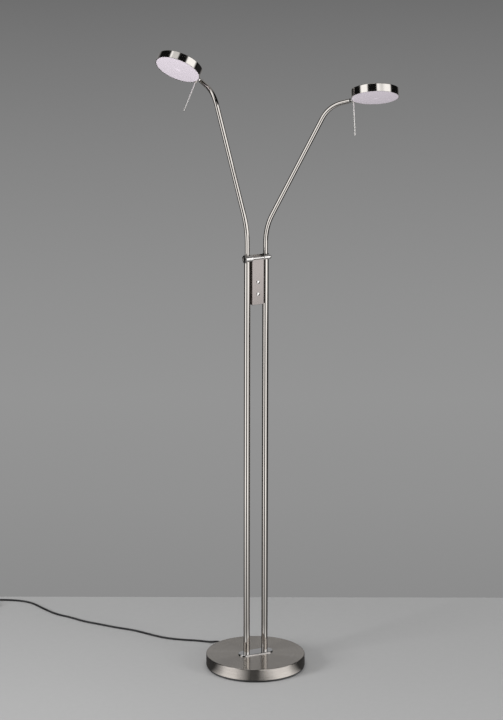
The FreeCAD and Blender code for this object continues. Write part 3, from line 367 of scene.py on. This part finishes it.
CORD_DIAMETER = 0.005
EXIT_WAY = compass(97)        # out of the back of the base
EXIT_RADIUS = 0.155
EXIT_HEIGHT = 0.0115
EXIT = EXIT_WAY * EXIT_RADIUS + upward(EXIT_HEIGHT)
EXIT_RUN = 0.020              # straight out of the bend relief
FLOOR_LEVEL = 0.00255         # height of the cord's middle where it lies on the floor
BENDS = [(-0.031, 0.198), (-0.058, 0.224), (-0.092, 0.247), (-0.124, 0.275), (-0.150, 0.317),
         (-0.174, 0.366), (-0.208, 0.404), (-0.238, 0.447), (-0.268, 0.487), (-0.286, 0.530),
         (-0.311, 0.567), (-0.325, 0.625), (-0.334, 0.680), (-0.362, 0.714)]
COIL_CENTRE = Vector((-0.463, 0.7175, 0))
COIL_TURN = 68.0              # degrees from +X to the coil's start
COIL_PITCH = 0.0056           # from one turn to the next, sideways and upwards
COIL_INNER = 0.0225           # radius of the innermost turn
COIL_TURNS = 3                # in each of the two layers
COIL_STEPS = 8                # control points in half a turn
COIL_GAP = 0.0008             # from the floor up to the lower turns
COIL_LOW = COIL_GAP + CORD_DIAMETER / 2
COIL_HIGH = COIL_LOW + COIL_PITCH
COIL_TAIL = 0.018             # straight before the coil
COIL_EXIT_TAIL = 0.036        # and after it
LAST_RUN = 0.032
PLUG_LEVEL = 0.0075           # height of the plug's middle
PLUG_DROP_RUN = 0.024         # over which the cord comes down to it


def coil_radii():
    """Radius at each half turn: inwards in the lower layer, then outwards in the upper one."""
    halves = 2 * COIL_TURNS
    step = COIL_PITCH / 2
    lower = [COIL_INNER + (halves - k) * step for k in range(halves + 1)]
    upper = [COIL_INNER + (k - 1 if k > 1 else -1) * step for k in range(1, halves + 1)]
    return lower, upper


def coil_points():
    """Control points of the wound length."""
    lower, upper = coil_radii()
    radii = lower + upper
    climb = len(lower) - 1    # the half turn that climbs to the upper layer
    bulge = 1 / math.cos(math.pi / (2 * COIL_STEPS))
    points = []
    for k, (first, second) in enumerate(zip(radii, radii[1:])):
        for i in range(COIL_STEPS):
            part = (i + 0.5) / COIL_STEPS
            radius = (first + (second - first) * part) * bulge
            height = COIL_LOW + COIL_PITCH * min(max(k + part - climb, 0.0), 1.0)
            way = compass(COIL_TURN + 180 * (k + part))
            points.append(COIL_CENTRE + way * radius + upward(height))
    return points


def cord_points():
    """Control points of the whole cord, from the base to the plug."""
    lower, upper = coil_radii()
    way = compass(COIL_TURN + 90)
    across = compass(COIL_TURN)
    start = COIL_CENTRE + across * lower[0] + upward(COIL_LOW)
    lead_in = start - way * COIL_TAIL
    end = COIL_CENTRE + across * upper[-1] + upward(COIL_HIGH)
    clear = end + way * COIL_EXIT_TAIL
    dropped = clear + way * PLUG_DROP_RUN
    dropped.z = PLUG_LEVEL
    return [EXIT, EXIT + EXIT_WAY * EXIT_RUN,
            *(Vector((x, y, FLOOR_LEVEL)) for x, y in BENDS),
            lead_in - way * LAST_RUN, lead_in,
            *coil_points(),
            (end + clear) / 2, clear, dropped, dropped + way * CORD_DIAMETER]


def spline_length(curve_object):
    """Length of the cord's own line."""
    bevel = curve_object.data.bevel_depth
    curve_object.data.bevel_depth = 0
    bpy.context.view_layer.update()
    graph = bpy.context.evaluated_depsgraph_get()
    line = bpy.data.meshes.new_from_object(curve_object.evaluated_get(graph))
    ends = [[line.vertices[v].co for v in edge.vertices] for edge in line.edges]
    length = sum((first - second).length for first, second in ends)
    bpy.data.meshes.remove(line)
    curve_object.data.bevel_depth = bevel
    return length


def make_cord():
    points = cord_points()
    data = bpy.data.curves.new("mains_cord", "CURVE")
    data.dimensions = "3D"
    spline = data.splines.new("NURBS")
    spline.points.add(len(points) - 1)
    for point, place in zip(spline.points, points):
        point.co = (*place, 1)
        point.radius = CORD_DIAMETER / 2      # a plain 1.0 would swell the object's box
    spline.order_u = 3
    spline.use_endpoint_u = True
    spline.resolution_u = 8
    data.bevel_depth = 1.0
    data.bevel_resolution = 4
    cord = bpy.data.objects.new("mains_cord", data)
    scene.collection.objects.link(cord)
    data.materials.append(cord_jacket())
    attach(cord, "stand")
    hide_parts("cord_lead", "cord_coil")
    round(spline_length(cord), 3)


# ---------------------------------------------------------------- dressing the CAD nodes

# Hinge pin, direction to the head's middle and direction of the light, per head
HEADS = {
    "left": ((-0.0479056, 0.2179322, 1.4741129), (-0.8183540, 0.0845687, 0.5684583),
             (-0.5568154, -0.3616001, -0.7477981)),
    "right": ((0.1812965, -0.1535921, 1.4741129), (0.4361123, -0.8377640, 0.3285688),
              (-0.1665845, -0.4339675, -0.8853936)),
}
HINGE_TO_HEAD = 0.071
HEAD_EDGE = (0.0560, 0.0575)  # radii between which the back's rounded edge lies
BACK_DULLNESS = 0.28          # added to the rim's roughness


def wear(material, *names):
    """CAD nodes get the material in every slot."""
    for name in names:
        slots = nodes[name].data.materials
        slots.clear()
        slots.append(material)


def both(*names):
    return [f"{name}_{side}" for name in names for side in SIDES]


def head_axes(side):
    """The head's middle, and its axes with the third one along its back."""
    hinge, reach, light = (Vector(values) for values in HEADS[side])
    back = -light
    return hinge + reach * HINGE_TO_HEAD, (reach, back.cross(reach), back)


def dress_heads():
    for side in SIDES:
        wear(head_metal(f"head_nickel_{side}", *head_axes(side), rgb(0.66, 0.63, 0.60),
                        rgb(0.58, 0.55, 0.52), 0.10, 0.02, 0.02), f"head_housing_{side}")
        wear(opal(f"opal_{side}"), f"diffuser_{side}")
        wear(moulded(f"white_reflector_{side}", rgb(0.80, 0.80, 0.79), rgb(0.86, 0.86, 0.85), 0.5),
             f"reflector_{side}")
        wear(circuit_board(f"led_board_{side}", rgb(0.82, 0.82, 0.80), rgb(0.90, 0.90, 0.88)),
             f"led_board_{side}")


def dress_metal():
    wear(base_metal(), "base_cover")
    wear(brushed_face(), "dimmer_face")
    wear(drawn_metal("satin_nickel_tube", rgb(0.62, 0.585, 0.55), rgb(0.56, 0.53, 0.50),
                     0.07, 0.02, 0.012), *both("pole", "arm_tube"))
    wear(plain_metal("foot_plate", rgb(0.70, 0.70, 0.71), rgb(0.62, 0.62, 0.63),
                     0.07, 0.02, 0.01), "foot_plate")
    wear(plain_metal("polished_nickel", rgb(0.72, 0.70, 0.675), rgb(0.63, 0.61, 0.585),
                     0.10, 0.02, 0.02), *both("fork", "knuckle"))
    wear(plain_metal("bright_nickel", rgb(0.88, 0.86, 0.84), rgb(0.80, 0.78, 0.76),
                     0.30, 0.03, 0.02),
         "button_upper", "button_lower", "clamp_bar", *both("handle_rod"))
    wear(plain_metal("satin_nickel", rgb(0.64, 0.61, 0.575), rgb(0.54, 0.51, 0.48),
                     0.26, 0.04, 0.04), "clamp_strap")
    wear(plain_metal("black_nickel", rgb(0.34, 0.33, 0.315), rgb(0.25, 0.24, 0.23),
                     0.32, 0.05, 0.06), "clamp_knob")
    wear(plain_metal("zinc_steel", rgb(0.55, 0.55, 0.56), rgb(0.42, 0.42, 0.43),
                     0.33, 0.06, 0.08, grain_scale=700.0),
         "base_screws", "pole_washers", "pole_nuts", "cover_screws", "clamp_screws",
         *both("stop_pin", "hinge_pin", "spigot_clip", "board_screws"))
    wear(plain_metal("turned_brass", rgb(0.72, 0.53, 0.25), rgb(0.58, 0.41, 0.18),
                     0.28, 0.05, 0.06), "pole_inserts", "pole_nipples")
    wear(plain_metal("plated_pins", rgb(0.80, 0.76, 0.66), rgb(0.70, 0.66, 0.56),
                     0.22, 0.04, 0.03), "plug_pins")


def dress_rest():
    wear(cast_iron(), "base_weight")
    wear(felt(), "base_felt")
    wear(moulded("driver_case", rgb(0.74, 0.74, 0.72), rgb(0.80, 0.80, 0.78), 0.42), "led_driver")
    wear(circuit_board("dimmer_board", rgb(0.02, 0.10, 0.045), rgb(0.04, 0.16, 0.07)),
         "dimmer_circuit")
    # The dark brown of the box's body is painted reflection: it stands in for the dark
    # surroundings that its sides mirror beside the poles.
    wear(moulded("housing_black", rgb(0.050, 0.038, 0.033), rgb(0.066, 0.052, 0.046), 0.30,
                 bump=0.08), "dimmer_housing")
    wear(moulded("black_plastic", grey(0.014), grey(0.030), 0.48), "base_tray", "dimmer_cover")
    wear(moulded("black_nylon", grey(0.010), grey(0.022), 0.38), "coil_tie", *both("arm_bush"))
    wear(moulded("black_rubber", grey(0.012), grey(0.026), 0.6, grain_scale=900.0, bump=0.3),
         "strain_relief", "plug_body")


# ---------------------------------------------------------------- floor, backdrop and lights

FLOOR_END = 0.523             # behind the lamp's foot, where the pale floor ends
FLOOR_REACH = 60.0
FLOOR_DROP = 0.0002           # how far the floor lies below the lamp
FLOOR_GREYS = (grey(0.40), grey(0.42))
FAR_FLOOR = 0.38              # the camera's grey for the pale floor away from the lamp
FAR_FLOOR_STEP = (0.5, 1.8)   # distances from the foot between which that grey takes over
FLOOR_BOUNCE = 0.33           # light that the floor sends back up
BACKDROP_RUN = (0.26, 9.98)   # behind the lamp's foot, where the backdrop's greys start and end
BACKDROP = ((0.0, 0.255), (0.114, 0.284), (0.224, 0.298), (0.347, 0.280), (0.509, 0.248),
            (0.713, 0.207), (1.0, 0.155))
FILL = 0.29                   # light from all round

# What the metal reflects: a dark studio with a tall softbox at each side of the camera. Each
# stop is the compass angle from the camera, positive to its right, and the light from there.
# The first four layers are the floor's, outwards from the lamp. The wall stands behind them,
# and the high layer is above it.
STUDIO = {
    "rim": ((-180, 0.25), (-120, 0.05), (-72, 0.05), (-48, 1.05), (-28, 1.05), (-8, 0.10),
            (10, 0.10), (32, 1.15), (54, 1.15), (76, 0.05), (120, 0.05), (180, 0.25)),
    "near": ((-180, 0.25), (-120, 0.04), (-84, 0.04), (-68, 0.60), (-34, 0.60), (-18, 0.10),
             (6, 0.10), (20, 0.70), (54, 0.70), (76, 0.04), (120, 0.04), (180, 0.25)),
    "middle": ((-180, 0.30), (-150, 0.22), (-138, 0.02), (-88, 0.02), (-74, 1.5), (-40, 1.5),
               (-26, 0.08), (6, 0.08), (18, 1.75), (40, 1.75), (54, 0.25), (80, 0.02),
               (138, 0.02), (150, 0.22), (180, 0.30)),
    "far": ((-180, 0.30), (-150, 0.22), (-138, 0.02), (-86, 0.02), (-72, 1.5), (-40, 1.5),
            (-26, 0.08), (4, 0.08), (16, 1.75), (38, 1.75), (46, 1.25), (62, 1.15), (84, 0.02),
            (138, 0.02), (150, 0.22), (180, 0.30)),
    "wall": ((-180, 0.34), (-150, 0.24), (-138, 0.006), (-86, 0.006), (-78, 1.5), (-50, 1.5),
             (-43, 0.006), (6, 0.006), (13, 1.5), (85, 1.5), (92, 0.006), (138, 0.006),
             (150, 0.24), (180, 0.34)),
    "high": ((-180, 0.34), (-150, 0.24), (-135, 0.006), (-106, 0.006), (-94, 0.90), (-6, 0.90),
             (5, 0.006), (120, 0.006), (135, 0.24), (180, 0.34)),
}
STUDIO_STRENGTH = 1.75
FLOOR_LAYERS = ("rim", "near", "middle", "far")
FLOOR_STEPS = ((0.20, 0.30), (0.35, 1.5), (3.3, 3.9))      # where each one passes into the next
HIGH_STEP = (0.76, 0.79)      # where the softboxes end, as a sine of the height
HIGH_LEAN = 0.25              # how much lower they end towards the right

# Place to the right of, behind and above the lamp's foot, height aimed at, size, and watts
SOFTBOXES = {
    "box_left": ((-2.3, -1.6, 1.15), 0.85, (0.8, 1.2), 66),
    "box_right": ((2.3, -1.75, 1.15), 0.85, (0.8, 1.2), 30),
    "front": ((0.0, -4.6, 1.9), 0.85, (2.4, 1.6), 34),
    "overhead": ((0.0, -0.4, 3.6), 0.0, (2.6, 2.0), 42),
}


def studio_light(t, direction, layers, steps):
    """Light from a level direction, with layers of stops mixed one into the next."""
    right = t.vector_math("DOT_PRODUCT", direction, tuple(RIGHT_WAY))
    towards = t.vector_math("DOT_PRODUCT", direction, tuple(-FLAT_WAY))
    turn = t.remap(t.math("ARCTAN2", right, towards), -math.pi, math.pi)
    colours = [t.ramp(turn, [((angle + 180) / 360, light / STUDIO_STRENGTH)
                             for angle, light in STUDIO[layer]]) for layer in layers]
    colour = colours[0]
    for step, second in zip(steps, colours[1:]):
        colour = t.mix(step, colour, second)
    return colour


def floor_material():
    """Matt floor, with what the camera and the metal see in it away from the lamp."""
    t = Tree("floor")
    speck = t.noise(t.place(), 60.0)
    t.set(Base_Color=t.mix(speck, *FLOOR_GREYS), Roughness=0.6, Specular_IOR_Level=0.3)
    path = t.node("ShaderNodeLightPath").outputs
    distance = t.vector_math("LENGTH", t.place())
    away = t.vector_math("DOT_PRODUCT", t.place(), tuple(FLAT_WAY))
    outer = t.math("MULTIPLY", t.remap(distance, *FAR_FLOOR_STEP), path["Is Camera Ray"])
    behind = t.math("MULTIPLY", t.math("GREATER_THAN", away, FLOOR_END), path["Is Camera Ray"])
    backdrop = t.ramp(t.remap(away, *BACKDROP_RUN), BACKDROP)
    steps = [t.remap(distance, *step) for step in FLOOR_STEPS]
    studio = studio_light(t, t.place(), FLOOR_LAYERS, steps)
    shader = t.layered(t.shader.outputs[0], (
        (outer, t.light("ShaderNodeEmission", grey(FAR_FLOOR))),
        (behind, t.light("ShaderNodeEmission", backdrop)),
        (path["Is Diffuse Ray"], t.light("ShaderNodeEmission", grey(FLOOR_BOUNCE))),
        (path["Is Glossy Ray"], t.light("ShaderNodeEmission", studio, STUDIO_STRENGTH))))
    t.put(shader, t.tree.nodes["Material Output"].inputs["Surface"])
    t.material.cycles.emission_sampling = "NONE"
    return t.material


def make_floor():
    corners = [from_camera(right * FLOOR_REACH, away * FLOOR_REACH, -FLOOR_DROP)
               for right, away in ((-1, -1), (1, -1), (1, 1), (-1, 1))]
    mesh = bpy.data.meshes.new("floor")
    mesh.from_pydata(corners, [], [(0, 1, 2, 3)])
    mesh.materials.append(floor_material())
    floor = bpy.data.objects.new("floor", mesh)
    scene.collection.objects.link(floor)


def make_world():
    """An even fill, the studio for what metal reflects, and the backdrop's top for the camera."""
    world = bpy.data.worlds.new("studio")
    scene.world = world
    world.use_nodes = True
    t = Nodes(world.node_tree)
    t.tree.nodes.clear()
    direction = t.node("ShaderNodeTexCoord").outputs["Generated"]
    lean = t.vector_math("DOT_PRODUCT", direction, tuple(RIGHT_WAY * HIGH_LEAN))
    height = t.math("ADD", t.split(direction)["Z"], lean)
    studio = studio_light(t, direction, ("wall", "high"), [t.remap(height, *HIGH_STEP)])
    path = t.node("ShaderNodeLightPath").outputs
    reflected = t.math("MAXIMUM", path["Is Glossy Ray"], path["Is Transmission Ray"])
    shader = t.layered(t.light("ShaderNodeBackground", grey(FILL)), (
        (reflected, t.light("ShaderNodeBackground", studio, STUDIO_STRENGTH)),
        (path["Is Camera Ray"], t.light("ShaderNodeBackground", grey(BACKDROP[-1][1])))))
    t.put(shader, t.node("ShaderNodeOutputWorld").inputs["Surface"])


def make_lights():
    """Softboxes that light the object and don't show in its metal."""
    for name, (place, aim, (width, height), watts) in SOFTBOXES.items():
        data = bpy.data.lights.new(name, "AREA")
        data.shape = "RECTANGLE"
        data.size = width
        data.size_y = height
        data.energy = watts
        spot = from_camera(*place)
        aimed(name, data, spot, upward(aim) - spot).visible_glossy = False


# ---------------------------------------------------------------- run

scene.view_settings.view_transform = "Standard"
make_camera()
make_cord()
dress_heads()
dress_metal()
dress_rest()
make_floor()
make_world()
make_lights()
